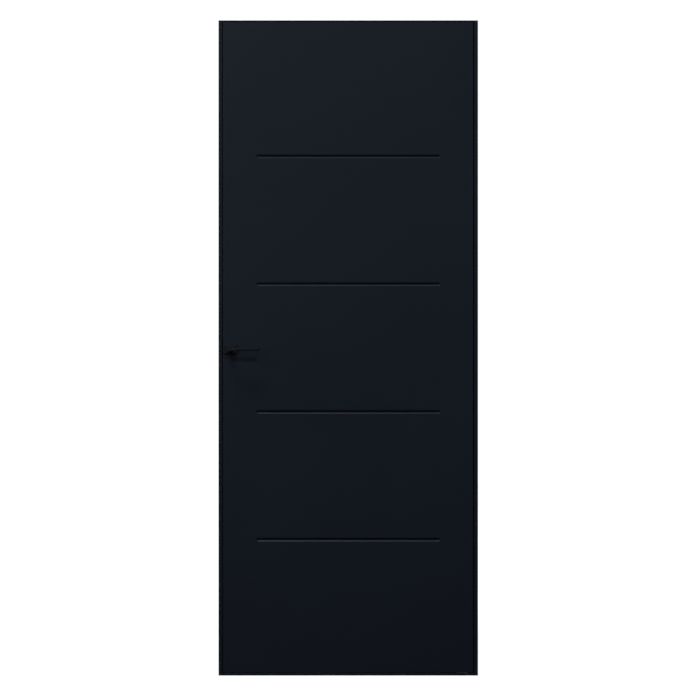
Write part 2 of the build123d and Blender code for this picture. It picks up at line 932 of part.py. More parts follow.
def latch_bolt():
    """The bevelled head, and the tail that bridges the follower's arm to its driven leg."""
    half = bolt_height / 2
    thick = bolt_thickness / 2
    leg_front = case_inner_front + front_leg_gap
    leg_back = leg_front + front_leg_width
    outline = rect(-bolt_throw, leg_back, -half, half)
    outline += rect(leg_front, leg_back, 0, bridge_top)
    outline += rect(leg_front, drive_leg_back, bridge_bottom, bridge_top)
    outline += rect(drive_leg_front, drive_leg_back, drive_leg_bottom, bridge_top)
    outline -= Pos(backset - bolt_throw, 0) * Circle(follower_radius + follower_relief)
    bolt = extrude(Plane.XZ * outline, thick, both=True)
    tip = -bolt_throw
    bevel = Polygon(
        (tip - 1, bolt_flat_tip - thick),
        (tip, bolt_flat_tip - thick),
        (tip + bolt_bevel_depth, thick),
        (tip + bolt_bevel_depth, thick + 1),
        (tip - 1, thick + 1),
        align=None,
    )
    bolt -= Pos(0, 0, -half - 1) * extrude(bevel, bolt_height + 2)
    peg_end = drive_leg_back + spring_peg_height
    bolt += rod_x(spring_peg_radius, drive_leg_back - 1, peg_end, 0, spring_z)
    return at_lock(bolt)


def latch_spring():
    """The square-wire coil between the tail's driven leg and the rear wall of the case."""
    start = drive_leg_back + spring_end_gap + spring_wire / 2
    end = case_inner_back - spring_end_gap - spring_wire / 2
    pitch = (end - start) / spring_turns
    path = Helix(pitch, end - start, spring_radius)
    section = Plane(origin=path @ 0, x_dir=(1, 0, 0), z_dir=path % 0)
    coil = sweep(section * Rectangle(spring_wire, spring_wire), path, is_frenet=True)
    return at_lock(Pos(start, 0, spring_z) * Rot(0, 90, 0) * coil)


def follower():
    """The hub in the case, with a square hole and the arm that draws the bolt back."""
    reach = case_half - case_screw_fit
    hub = rod_y(follower_radius, -reach, reach, 0, 0)
    half = arm_root_width / 2
    arm = make_hull(
        [
            *Circle(half).edges(),
            *(Pos(0, arm_radius) * Circle(arm_tip_radius)).edges(),
        ]
    )
    hub += extrude(Plane.XZ * arm, arm_thickness / 2, both=True)
    socket = spindle_side + spindle_fit
    hub -= block(-socket / 2, socket / 2, -reach - 1, reach + 1, -socket / 2, socket / 2)
    return Pos(spindle_x, 0, handle_height) * hub


# Handle


def spindle():
    """The square bar that joins both levers through the follower."""
    half = spindle_side / 2
    reach = leaf_back + spindle_reach
    return Pos(spindle_x, 0, handle_height) * block(-half, half, -reach, reach, -half, half)


def at_front(shape):
    """Stands a shape on the leaf's front, with its own +Z pointing away from the leaf."""
    return Pos(spindle_x, leaf_front, handle_height) * Rot(90, 0, 0) * shape


def at_back(shape):
    """Stands a shape on the leaf's back, turned a quarter so that its width is upright."""
    return Pos(spindle_x, leaf_back, handle_height) * Rot(-90, 0, 0) * Rot(0, 0, 90) * shape


def rose_outline(inset, rounding):
    """The rose's rounded outline, seen from the front."""
    return RectangleRounded(rose_width - 2 * inset, rose_height - 2 * inset, rounding)


def rose_screw_places():
    """A rose's two screws on its diagonal, seen from the front of a rose that lies flat."""
    return [(side * rose_screw_across, side * rose_screw_rise) for side in (-1, 1)]


def rose_screw_seat():
    """How far the heads' undersides stand from the leaf."""
    return rose_depth - rose_wall - rose_fit - rose_screw_head_height


def rose_base():
    """The plate screwed to the leaf, which bears the lever's journal."""
    depth = rose_depth - rose_wall
    base = extrude(rose_outline(rose_wall + rose_fit, rose_round - rose_wall), depth)
    base -= rod_z(journal_radius + journal_fit, -1, depth + 1, 0, 0)
    for x, z in rose_screw_places():
        base -= rod_z(rose_screw_radius + rose_screw_fit, -1, depth + 1, x, z)
        base -= rod_z(rose_screw_head_radius + rose_screw_fit, rose_screw_seat(), depth + 1, x, z)
    return base


def rose_cover():
    """The metal shell over the base, with softened edges."""
    shell = extrude(rose_outline(0, rose_round), rose_depth)
    rim = shell.faces().sort_by(Axis.Z)[-1].edges()
    shell = fillet(rim, rose_edge_round)
    pocket = rose_outline(rose_wall, rose_round - rose_wall)
    shell -= Pos(0, 0, -1) * extrude(pocket, rose_depth - rose_wall + 1)
    return shell - rod_z(journal_radius + cover_hole_gap, 0, rose_depth + 1, 0, 0)


def rose_screws():
    """The two wood screws of one rose."""
    seat = rose_screw_seat()
    for x, z in rose_screw_places():
        shank = rod_z(rose_screw_radius, -rose_screw_length, seat, x, z)
        yield shank + rod_z(rose_screw_head_radius, seat, seat + rose_screw_head_height, x, z)


def roses():
    """Both roses: the back one stands upright, so that it clears the stop beside it."""
    screws = list(rose_screws())
    return {
        "front_rose_base": at_front(rose_base()),
        "back_rose_base": at_back(rose_base()),
        "front_rose_cover": at_front(rose_cover()),
        "back_rose_cover": at_back(rose_cover()),
        "rose_screws": group([at_front(one) for one in screws] + [at_back(one) for one in screws]),
    }


def lever_path():
    """The lever's centre line: out from the leaf, slanting across, then along the leaf."""
    return FilletPolyline(
        (0, 0, neck_start),
        (0, 0, neck_straight),
        (neck_shift, 0, lever_stand_off),
        (lever_reach, 0, lever_stand_off),
        radius=[bend_near, bend_far],
    )


def bar_across(stretch):
    """The bar's section, standing across the start of a stretch of the lever's path."""
    section = Rectangle(bar_height, bar_depth)
    section = fillet(section.vertices().sort_by(Axis.X)[:2], bar_lower_round)
    section = fillet(section.vertices().sort_by(Axis.X)[-2:], bar_upper_round)
    return Plane(origin=stretch @ 0, x_dir=(0, 1, 0), z_dir=stretch % 0) * section


def bend(arc):
    """A bend of the bar, turned about the arc's own centre."""
    turn = math.degrees(math.acos((arc % 0).dot(arc % 1)))
    return revolve(bar_across(arc), Axis(arc.arc_center, (0, 1, 0)), turn)


def front_lever():
    """The collar on its journal, and a bar that slants out from it and turns along the leaf."""
    start, near_bend, slant, far_bend, straight = lever_path().edges()
    lever = extrude(bar_across(start), start.length)
    lever += bend(near_bend)
    lever += extrude(bar_across(slant), slant.length)
    lever += bend(far_bend)
    lever += extrude(bar_across(straight), straight.length)
    tip = lever.faces().sort_by(Axis.X)[-1]
    lever = chamfer(tip.edges(), bar_tip_chamfer)
    collar_start = rose_depth + collar_gap
    collar_end = collar_start + collar_height
    outline = Polygon(
        (0, journal_start),
        (journal_radius, journal_start),
        (journal_radius, collar_start),
        (collar_radius, collar_start),
        (collar_radius, collar_end - collar_round),
        (collar_radius - collar_round, collar_end),
        (0, collar_end),
        align=None,
    )
    lever += revolve(Plane.XZ * outline, Axis.Z)
    half = (spindle_side + spindle_fit) / 2
    lever -= block(-half, half, -half, half, 0, spindle_reach + spindle_fit)
    return at_front(lever - lever_grub(grub_fit, collar_radius))


def lever_grub(extra, length):
    """The grub screw that clamps the spindle from below, or its hole."""
    height = rose_depth + collar_gap + collar_height / 2
    start = -spindle_side / 2 - length
    return rod_y(lever_grub_radius + extra, start, -spindle_side / 2, 0, height)


def lever_grub_screws():
    """One grub screw in each lever's collar."""
    front = at_front(lever_grub(0, lever_grub_length))
    return group([front, mirror(front, Plane.XZ)])


def build():
    """Every piece of the door by its node's name."""
    plain_jamb = jamb()
    lock_stop = jamb_stop()
    pieces = {
        "lock_jamb": plain_jamb - strike_cut_out(),
        "hinge_jamb": mirror(plain_jamb, Plane.YZ),
        "lock_stop": lock_stop,
        "hinge_stop": mirror(lock_stop, Plane.YZ),
        "head_plate": head_plate(),
        "head_stop": head_stop(),
        "sill": sill(),
        "frame_screws": frame_screws(),
        **seals(),
        "strike_plate": strike_plate(),
        "strike_box": strike_box(),
        "strike_screws": group(strike_screw_set(0)),
        "bottom_pivot_plate": bottom_pivot_plate(),
        "pivot_plate_screws": group(plate_screw_set(0)),
        "thrust_washer": thrust_washer(),
        "top_pivot_bush": top_pivot_bush(),
        **skins(),
        **leaf_frame(),
        **lippings(),
        **pivots(),
        "lock_case": lock_case(),
        "lock_cover": lock_cover(),
        "case_screws": group(at_lock(one) for one in case_screw_set(0)),
        "faceplate": faceplate(),
        "faceplate_screws": group(faceplate_screw_set(0)),
        "latch_spring": latch_spring(),
        **roses(),
        "spindle": spindle(),
        "follower": follower(),
        "front_lever": front_lever(),
        "back_lever": mirror(front_lever(), Plane.XZ),
        "lever_grub_screws": lever_grub_screws(),
        "latch_bolt": latch_bolt(),
    }
    return pieces


os.makedirs("parts", exist_ok=True)
for name, shape in build().items():
    export_step(shape, f"parts/{name}.step")
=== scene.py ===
# %% [markdown]
# # An interior door with its frame
# The solids of this door come ready-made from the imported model: a grooved leaf, a slim metal
# frame, hidden pivots, a mortise latch and a lever handle. This lesson gives every piece the
# finish of the real thing, models the small parts that the solids leave plain, and lights the
# door like a plain studio picture.

import math

import bpy
from mathutils import Matrix, Vector


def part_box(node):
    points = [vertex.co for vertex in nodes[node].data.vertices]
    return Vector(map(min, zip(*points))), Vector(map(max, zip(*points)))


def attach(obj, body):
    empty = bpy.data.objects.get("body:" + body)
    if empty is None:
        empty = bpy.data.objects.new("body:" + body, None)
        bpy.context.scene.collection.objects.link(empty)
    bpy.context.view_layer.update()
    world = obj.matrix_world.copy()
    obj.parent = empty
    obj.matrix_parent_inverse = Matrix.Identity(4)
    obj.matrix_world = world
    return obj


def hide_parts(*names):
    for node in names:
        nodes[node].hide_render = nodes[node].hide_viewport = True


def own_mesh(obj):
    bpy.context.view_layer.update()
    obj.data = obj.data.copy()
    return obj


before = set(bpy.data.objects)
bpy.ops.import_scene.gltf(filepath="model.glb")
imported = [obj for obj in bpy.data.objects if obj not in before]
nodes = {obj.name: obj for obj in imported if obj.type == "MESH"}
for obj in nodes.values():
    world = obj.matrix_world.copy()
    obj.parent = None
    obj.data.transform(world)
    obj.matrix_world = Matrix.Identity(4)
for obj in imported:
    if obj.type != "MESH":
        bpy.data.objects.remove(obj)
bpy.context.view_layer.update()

# %% [markdown]
# ## Camera
# The picture was taken straight from the front, from so far away that nothing seems to narrow. A
# long lens gives that look. The frame is 2092 mm high and fills 655.2 of the picture's 696
# pixels, so the view at the leaf's face is 2222 mm high, and the distance follows from the lens
# and the sensor.

# %% Camera
MM = 0.001
lens, sensor = 85.0, 36.0
frame_height = 2092 * MM
picture_pixels, frame_pixels = 696, 655.2
view_height = frame_height * picture_pixels / frame_pixels
leaf_face = -20 * MM
distance = view_height * lens / sensor
# The door stands a quarter of a pixel to the right of the picture's middle.
aside = -0.8 * MM

camera_data = bpy.data.cameras.new("studio_camera")
camera_data.lens = lens
camera_data.sensor_width = sensor
camera_data.clip_end = 50
camera = bpy.data.objects.new("studio_camera", camera_data)
bpy.context.scene.collection.objects.link(camera)
camera.location = (aside, leaf_face - distance, frame_height / 2)
camera.rotation_euler = (math.radians(90), 0, 0)
bpy.context.scene.camera = camera
print("camera distance", round(distance, 3), "m")

# %% [markdown]
# ## Helpers for finishes
# A colour is easiest to name by its hex value, but a shader wants it linear, so one function
# turns it. Each finish is a small tree of nodes, so a second function adds one node with its
# settings and links. A third starts a finish: its material, its shader and the coordinates that
# every pattern reads.

# %% Colour and node helpers
def linear(hex_colour):
    """An sRGB hex value as linear red, green, blue and alpha."""
    channels = [int(hex_colour[i : i + 2], 16) / 255 for i in (1, 3, 5)]
    curve = [c / 12.92 if c <= 0.04045 else ((c + 0.055) / 1.055) ** 2.4 for c in channels]
    return (*curve, 1.0)


def add(tree, kind, inputs=None, **settings):
    """One node with its settings; an input is a value, or another node's output to link."""
    node = tree.nodes.new(kind)
    for name, value in settings.items():
        setattr(node, name, value)
    for name, value in (inputs or {}).items():
        if isinstance(value, bpy.types.NodeSocket):
            tree.links.new(value, node.inputs[name])
        else:
            node.inputs[name].default_value = value
    return node


def new_finish(name, constants=None):
    """A material with its tree, its shader with some constants set, and object coordinates."""
    material = bpy.data.materials.new(name)
    material.use_nodes = True
    tree = material.node_tree
    shader = tree.nodes["Principled BSDF"]
    for socket, value in (constants or {}).items():
        shader.inputs[socket].default_value = value
    place = add(tree, "ShaderNodeTexCoord").outputs["Object"]
    return material, tree, shader, place


def give(material, *names):
    """Puts one finish on CAD nodes."""
    for name in names:
        slots = nodes[name].data.materials
        slots.clear()
        slots.append(material)
    print(material.name, "on", len(names), "nodes")


# %% [markdown]
# ## Satin lacquer on fibreboard
# The leaf's skins are fibreboard, milled and then sprayed with a near-black lacquer with a hint
# of blue. The lacquer is dead smooth to the eye: it lies a shade lighter where it dried a little
# thicker, and spraying leaves a faint orange peel, waves of a few millimetres that only show
# where light grazes the face. It could be a flat colour, but then a face of this size looks like
# a cut-out.

# %% Leaf lacquer
def sprayed(name, low, high, roughness, peel_mm, peel_height_mm, level):
    """A sprayed coat: a slow drift in tone and gloss, and the fine waves of orange peel.

    The level is how strongly the coat mirrors when it is looked at straight on.
    """
    material, tree, shader, place = new_finish(name, {"Specular IOR Level": level})
    drift = add(tree, "ShaderNodeTexNoise", {"Vector": place, "Scale": 1.6, "Detail": 2.0})
    share = add(
        tree,
        "ShaderNodeMapRange",
        {"Value": drift.outputs["Fac"], "From Min": 0.3, "From Max": 0.7},
    ).outputs["Result"]
    tone = add(
        tree, "ShaderNodeMix", {0: share, 6: linear(low), 7: linear(high)}, data_type="RGBA"
    )
    gloss = add(
        tree,
        "ShaderNodeMapRange",
        {"Value": share, "To Min": roughness + 0.02, "To Max": roughness - 0.02},
    )
    peel = add(
        tree, "ShaderNodeTexNoise", {"Vector": place, "Scale": 1 / (peel_mm * MM), "Detail": 1.0}
    )
    waves = add(
        tree,
        "ShaderNodeBump",
        {"Height": peel.outputs["Fac"], "Strength": 0.3, "Distance": peel_height_mm * MM},
    )
    tree.links.new(tone.outputs[2], shader.inputs["Base Color"])
    tree.links.new(gloss.outputs["Result"], shader.inputs["Roughness"])
    tree.links.new(waves.outputs["Normal"], shader.inputs["Normal"])
    return material


leaf_lacquer = sprayed(
    "satin lacquer on fibreboard",
    "#12161D",
    "#141920",
    roughness=0.42,
    peel_mm=3.0,
    peel_height_mm=0.02,
    level=0.05,
)
give(leaf_lacquer, "front_skin", "back_skin", "lock_lipping", "hinge_lipping")

# %% [markdown]
# ## Powder-coated aluminium
# Jambs, stops, head and sill are extruded aluminium in the same near-black blue. The coat is a
# powder melted on in an oven, which flows less than a lacquer: its peel is finer and a little
# higher, and the face is slightly more matt. The metal itself shows nowhere.

# %% Frame coat
frame_coat = sprayed(
    "powder coat on extruded aluminium",
    "#11151B",
    "#13171D",
    roughness=0.6,
    peel_mm=1.2,
    peel_height_mm=0.03,
    level=0.02,
)
frame_bars = ("lock_jamb", "hinge_jamb", "lock_stop", "hinge_stop")
frame_bars += ("head_plate", "head_stop", "sill")
give(frame_coat, *frame_bars)

# %% [markdown]
# ## Extruded rubber
# The seals are EPDM rubber, pressed through a die, so fine lines run along them. Rubber is matt
# and nearly black, and a trace of grey bloom lies on it in patches.

# %% Seal rubber
def rubber(name, low, high):
    constants = {"Roughness": 0.8, "Specular IOR Level": 0.3}
    material, tree, shader, place = new_finish(name, constants)
    bloom = add(tree, "ShaderNodeTexNoise", {"Vector": place, "Scale": 60.0, "Detail": 3.0})
    tone = add(
        tree,
        "ShaderNodeMix",
        {0: bloom.outputs["Fac"], 6: linear(low), 7: linear(high)},
        data_type="RGBA",
    )
    # The die's lines are about 0.3 mm apart across the bulb, and long along it.
    across = add(tree, "ShaderNodeMapping", {"Vector": place, "Scale": (3300, 3300, 8)})
    lines = add(tree, "ShaderNodeTexNoise", {"Vector": across.outputs["Vector"], "Scale": 1.0})
    ridges = add(
        tree,
        "ShaderNodeBump",
        {"Height": lines.outputs["Fac"], "Strength": 0.4, "Distance": 0.03 * MM},
    )
    tree.links.new(tone.outputs[2], shader.inputs["Base Color"])
    tree.links.new(ridges.outputs["Normal"], shader.inputs["Normal"])
    return material


seal_rubber = rubber("extruded EPDM rubber", "#0D0E10", "#17181A")
give(seal_rubber, "lock_seal", "hinge_seal", "head_seal")

# %% [markdown]
# ## Plated steel
# Screws, case, spindle and plates are steel with a thin coat of zinc. Plating keeps the marks of
# the rolled sheet below it, so a metal shader gets a cloudy roughness and a fine grain. Black
# plated pieces go through one more bath that turns the zinc dark, and a nickel coat is brighter
# and warmer. The lower pivot is steel that was heated and quenched in oil, which leaves it dark,
# so that it doesn't shine out of the gap below the leaf.

# %% Metals
def plated(name, low, high, smooth, rough, grain_mm, metallic=1.0):
    """A plated metal: clouds in tone and gloss, over a fine grain."""
    material, tree, shader, place = new_finish(name, {"Metallic": metallic})
    clouds = add(tree, "ShaderNodeTexNoise", {"Vector": place, "Scale": 90.0, "Detail": 4.0})
    tone = add(
        tree,
        "ShaderNodeMix",
        {0: clouds.outputs["Fac"], 6: linear(low), 7: linear(high)},
        data_type="RGBA",
    )
    gloss = add(
        tree,
        "ShaderNodeMapRange",
        {
            "Value": clouds.outputs["Fac"],
            "From Min": 0.35,
            "From Max": 0.65,
            "To Min": smooth,
            "To Max": rough,
        },
    )
    grain = add(
        tree, "ShaderNodeTexNoise", {"Vector": place, "Scale": 1 / (grain_mm * MM), "Detail": 2.0}
    )
    pits = add(
        tree,
        "ShaderNodeBump",
        {"Height": grain.outputs["Fac"], "Strength": 0.25, "Distance": 0.02 * MM},
    )
    tree.links.new(tone.outputs[2], shader.inputs["Base Color"])
    tree.links.new(gloss.outputs["Result"], shader.inputs["Roughness"])
    tree.links.new(pits.outputs["Normal"], shader.inputs["Normal"])
    return material


zinc_plate = plated("bright zinc plating on steel", "#A9AEB3", "#C2C6C9", 0.3, 0.45, 0.4)
black_plate = plated("black zinc plating on steel", "#141518", "#1F2023", 0.35, 0.5, 0.4, 0.6)
turned_steel = plated("turned and zinc-plated steel", "#94989C", "#B0B3B6", 0.22, 0.34, 0.25)
oiled_steel = plated("turned and oil-blackened steel", "#2B2D30", "#3A3C3F", 0.4, 0.55, 0.25)
nickel_plate = plated("nickel plating on cast zinc", "#B5AFA3", "#CCC7BB", 0.16, 0.28, 0.5)
spring_steel = plated("drawn spring steel wire", "#6C7074", "#85898D", 0.25, 0.38, 0.2)
give(zinc_plate, "lock_case", "lock_cover", "spindle", "follower", "case_screws", "rose_screws")
give(zinc_plate, "pivot_wood_screws", "pin_grub_screw", "frame_screws")
give(black_plate, "strike_plate", "faceplate")
give(black_plate, "strike_screws", "faceplate_screws", "lever_grub_screws")
give(turned_steel, "top_pivot_housing", "top_pivot_pin")
give(oiled_steel, "bottom_pivot_plate", "bottom_pivot_shoe", "pivot_plate_screws")
give(nickel_plate, "latch_bolt")
give(spring_steel, "latch_spring")

# %% [markdown]
# ## Lacquered die casting
# Levers and rose covers are cast in zinc, ground, and sprayed in the same near-black as the leaf.
# The coat is thinner than on the board, so its peel is finer and lower.

# %% Handle lacquer
handle_lacquer = sprayed(
    "satin lacquer on cast zinc",
    "#0F1217",
    "#12151B",
    roughness=0.45,
    peel_mm=1.0,
    peel_height_mm=0.012,
    level=0.03,
)
give(handle_lacquer, "front_lever", "back_lever", "front_rose_cover", "back_rose_cover")

# %% [markdown]
# ## Moulded polyamide
# The rose bases, the strike's box, the washer and the bush are glass-filled polyamide from a
# mould. The mould's walls are eroded by sparks, which leaves a fine even grain and a soft sheen.

# %% Polyamide
def moulded(name, low, high, grain_mm):
    constants = {"Roughness": 0.55, "Specular IOR Level": 0.4}
    material, tree, shader, place = new_finish(name, constants)
    flow = add(tree, "ShaderNodeTexNoise", {"Vector": place, "Scale": 40.0, "Detail": 2.0})
    tone = add(
        tree,
        "ShaderNodeMix",
        {0: flow.outputs["Fac"], 6: linear(low), 7: linear(high)},
        data_type="RGBA",
    )
    grain = add(tree, "ShaderNodeTexVoronoi", {"Vector": place, "Scale": 1 / (grain_mm * MM)})
    sparks = add(
        tree,
        "ShaderNodeBump",
        {"Height": grain.outputs["Distance"], "Strength": 0.35, "Distance": 0.03 * MM},
    )
    tree.links.new(tone.outputs[2], shader.inputs["Base Color"])
    tree.links.new(sparks.outputs["Normal"], shader.inputs["Normal"])
    return material


polyamide = moulded("moulded black polyamide", "#121315", "#1A1B1E", 0.35)
give(polyamide, "front_rose_base", "back_rose_base")
give(polyamide, "strike_box", "thrust_washer", "top_pivot_bush")

# %% [markdown]
# ## Planed spruce
# Stiles and rails are planed spruce. A board's face shows the growth rings as long bands, 3 mm or
# so apart, pale in spring wood and darker in summer wood, with fibres of a tenth of a millimetre
# between them. The bands follow the length of the piece, so an upright and a lying piece get one
# finish each.

# %% Spruce
def spruce(name, along):
    """Wood whose grain runs along one axis: 0 for X, 2 for Z."""
    constants = {"Roughness": 0.62, "Specular IOR Level": 0.25}
    material, tree, shader, place = new_finish(name, constants)
    stretch = [1.0, 1.0, 1.0]
    stretch[along] = 0.04
    drawn = add(tree, "ShaderNodeMapping", {"Vector": place, "Scale": stretch}).outputs["Vector"]
    sway = add(tree, "ShaderNodeTexNoise", {"Vector": drawn, "Scale": 22.0, "Detail": 2.0})
    bent = add(
        tree,
        "ShaderNodeVectorMath",
        {0: sway.outputs["Color"], 1: (0.03, 0.03, 0.03)},
        operation="MULTIPLY",
    )
    path = add(tree, "ShaderNodeVectorMath", {0: drawn, 1: bent.outputs[0]}, operation="ADD")
    rings = add(
        tree,
        "ShaderNodeTexWave",
        {"Vector": path.outputs[0], "Scale": 52.0, "Distortion": 1.5, "Detail": 1.0},
        wave_type="BANDS",
        bands_direction="DIAGONAL",
        wave_profile="SAW",
    )
    fibres = add(tree, "ShaderNodeTexNoise", {"Vector": drawn, "Scale": 2500.0, "Detail": 1.0})
    ring_tone = add(
        tree,
        "ShaderNodeMix",
        {0: rings.outputs["Fac"], 6: linear("#DDBE8E"), 7: linear("#B98F5B")},
        data_type="RGBA",
    )
    tone = add(
        tree,
        "ShaderNodeMix",
        {0: fibres.outputs["Fac"], 6: ring_tone.outputs[2], 7: linear("#C9A271")},
        data_type="RGBA",
    )
    grain = add(
        tree,
        "ShaderNodeBump",
        {"Height": fibres.outputs["Fac"], "Strength": 0.3, "Distance": 0.05 * MM},
    )
    tree.links.new(tone.outputs[2], shader.inputs["Base Color"])
    tree.links.new(grain.outputs["Normal"], shader.inputs["Normal"])
    return material


give(spruce("planed spruce, upright", 2), "lock_stile", "hinge_stile")
give(spruce("planed spruce, lying", 0), "bottom_rail", "top_rail")

# %% [markdown]
# ## Pressed chips
# The core is chipboard pressed through a die, with round tubes that save weight. Chips of 2 to 6
# mm lie every way in it, each with its own tone of straw or brown.

# %% Core board
def chips(name, size_mm):
    constants = {"Roughness": 0.85, "Specular IOR Level": 0.2}
    material, tree, shader, place = new_finish(name, constants)
    squeezed = add(tree, "ShaderNodeMapping", {"Vector": place, "Scale": (1.0, 1.0, 2.2)})
    flakes = add(
        tree,
        "ShaderNodeTexVoronoi",
        {"Vector": squeezed.outputs["Vector"], "Scale": 1 / (size_mm * MM)},
    )
    pick = add(tree, "ShaderNodeSeparateColor", {"Color": flakes.outputs["Color"]})
    tone = add(
        tree,
        "ShaderNodeMix",
        {0: pick.outputs["Red"], 6: linear("#A98552"), 7: linear("#DCC08D")},
        data_type="RGBA",
    )
    edges = add(
        tree,
        "ShaderNodeBump",
        {"Height": flakes.outputs["Distance"], "Strength": 0.6, "Distance": 0.3 * MM},
    )
    tree.links.new(tone.outputs[2], shader.inputs["Base Color"])
    tree.links.new(edges.outputs["Normal"], shader.inputs["Normal"])
    return material


give(chips("pressed tubular chipboard", 4.0), "core")

# %% [markdown]
# ## Turned pieces
# A screw is a turned piece, so it is drawn like one: a disc at the top is extruded down step by
# step, and each step gets its own radius. The thread is drawn as rings, because it is hidden and
# at this size a ring and a helix look the same.

# %% Helpers for modelling
def start_clean():
    """Leaves nothing selected, because an operator works on all that is."""
    if bpy.context.object and bpy.context.object.mode != "OBJECT":
        bpy.ops.object.mode_set(mode="OBJECT")
    bpy.ops.object.select_all(action="DESELECT")


def make_active(piece):
    start_clean()
    piece.select_set(True)
    bpy.context.view_layer.objects.active = piece


def turn_outward():
    """Ends edit mode with every normal pointing out of the piece."""
    bpy.ops.mesh.select_all(action="SELECT")
    bpy.ops.mesh.normals_make_consistent(inside=False)
    bpy.ops.object.mode_set(mode="OBJECT")


def copy_of(source):
    """A copy that has a mesh of its own."""
    copy = source.copy()
    copy.data = source.data.copy()
    bpy.context.scene.collection.objects.link(copy)
    return copy


def turned(name, steps, sides=24):
    """A turned piece that points down, from steps of (radius, height) in millimetres."""
    start_clean()
    radius, height = steps[0]
    bpy.ops.mesh.primitive_circle_add(
        vertices=sides, radius=radius * MM, fill_type="NGON", location=(0, 0, height * MM)
    )
    piece = bpy.context.object
    piece.name = name
    bpy.ops.object.mode_set(mode="EDIT")
    bpy.ops.mesh.select_all(action="SELECT")
    for next_radius, next_height in steps[1:]:
        bpy.ops.mesh.extrude_region_move(
            TRANSFORM_OT_translate={"value": (0, 0, (next_height - height) * MM)}
        )
        ratio = next_radius / radius
        bpy.ops.transform.resize(value=(ratio, ratio, 1), center_override=(0, 0, 0))
        radius, height = next_radius, next_height
    turn_outward()
    bpy.ops.object.transform_apply(location=True, rotation=True, scale=True)
    return piece


def cut(piece, tool, operation="DIFFERENCE"):
    """Cuts a tool from a piece, or joins it on, and takes the tool away."""
    make_active(piece)
    change = piece.modifiers.new("cut", "BOOLEAN")
    change.object = tool
    change.operation = operation
    change.solver = "EXACT"
    bpy.ops.object.modifier_apply(modifier=change.name)
    bpy.data.objects.remove(tool)


def bar_tool(size, place, taper=1.0):
    """A bar in millimetres whose lower end may be narrower."""
    start_clean()
    bpy.ops.mesh.primitive_cube_add(size=1, location=[value * MM for value in place])
    tool = bpy.context.object
    tool.scale = [value * MM for value in size]
    bpy.ops.object.transform_apply(location=True, rotation=True, scale=True)
    if taper != 1.0:
        bpy.ops.object.mode_set(mode="EDIT")
        bpy.ops.mesh.select_all(action="DESELECT")
        bpy.ops.object.mode_set(mode="OBJECT")
        for corner in tool.data.vertices:
            corner.select = corner.co.z < place[2] * MM
        bpy.ops.object.mode_set(mode="EDIT")
        centre = (place[0] * MM, place[1] * MM, 0)
        bpy.ops.transform.resize(value=(taper, taper, 1), center_override=centre)
        bpy.ops.object.mode_set(mode="OBJECT")
    return tool


def thread(start, end, crest, root, pitch):
    """The steps of a thread between two heights, as rings."""
    steps = []
    height = start
    while height - pitch > end:
        steps += [(root, height - 0.35 * pitch), (crest, height - 0.7 * pitch)]
        steps += [(root, height - pitch)]
        height -= pitch
    return steps


# %% [markdown]
# ## Screws
# Three kinds cover the whole door. Countersunk screws with a cross recess hold the plates and the
# pivot blocks, round-headed ones with the same recess draw the frame's corners and the roses
# together, and grub screws with a hexagon socket clamp the levers and the top pin. Each kind is
# modelled once at each size and then copied to the places where the CAD solids have it.

# %% Three kinds of screw
def cross_recess(piece, span, top, depth):
    """Two crossed tapering slots in the top of a head."""
    for size in ((span, span * 0.24, 2 * depth), (span * 0.24, span, 2 * depth)):
        cut(piece, bar_tool(size, (0, 0, top), 0.45))


def countersunk(name, shank, head, length, pitch):
    """Sizes are radii, lengths and a pitch in millimetres; the origin is on the head's flat top."""
    cone = head - shank
    steps = [(head - 0.12, 0), (head - 0.12, -0.12), (shank, -cone), (shank, -cone - 0.6)]
    steps += thread(-cone - 0.6, -length + 1.2, shank, shank * 0.76, pitch)
    steps += [(shank * 0.7, -length + 1.0), (shank * 0.2, -length)]
    piece = turned(name, steps)
    cross_recess(piece, head * 1.1, 0, cone * 0.9)
    return piece


def round_headed(name, shank, head, height, length, pitch):
    """As above, with a domed head; the origin is in the middle of the head's underside."""
    dome = [(0.45, 1.0), (0.75, 0.9), (0.93, 0.68), (1.0, 0.4), (1.0, 0.0)]
    steps = [(head * across, height * up) for across, up in dome]
    steps += [(shank, 0), (shank, -0.6)]
    steps += thread(-0.6, -length + 1.2, shank, shank * 0.76, pitch)
    steps += [(shank * 0.7, -length + 1.0), (shank * 0.2, -length)]
    piece = turned(name, steps)
    cross_recess(piece, head * 1.1, height, height * 0.6)
    return piece


def grub(name, radius, length, socket):
    """A headless screw with a hexagon socket, measured across its flats."""
    steps = [(radius * 0.85, 0), (radius, -0.25)]
    steps += thread(-0.25, -length + 0.5, radius, radius * 0.82, 0.6)
    steps += [(radius * 0.8, -length + 0.3), (radius * 0.5, -length)]
    piece = turned(name, steps)
    start_clean()
    bpy.ops.mesh.primitive_cylinder_add(
        vertices=6, radius=socket / math.sqrt(3) * MM, depth=length * MM, location=(0, 0, 0.1 * MM)
    )
    cut(piece, bpy.context.object)
    return piece


# %% [markdown]
# A screw is modelled pointing down. A copy is turned to its own direction and moved to its own
# place, which goes into its mesh, and the copies of one CAD node are joined to one piece.

# %% Copies in place
turns = {
    "down": Matrix.Identity(4),
    "up": Matrix.Rotation(math.pi, 4, "X"),
    "right": Matrix.Rotation(-math.pi / 2, 4, "Y"),
    "left": Matrix.Rotation(math.pi / 2, 4, "Y"),
    "back": Matrix.Rotation(math.pi / 2, 4, "X"),
    "front": Matrix.Rotation(-math.pi / 2, 4, "X"),
}


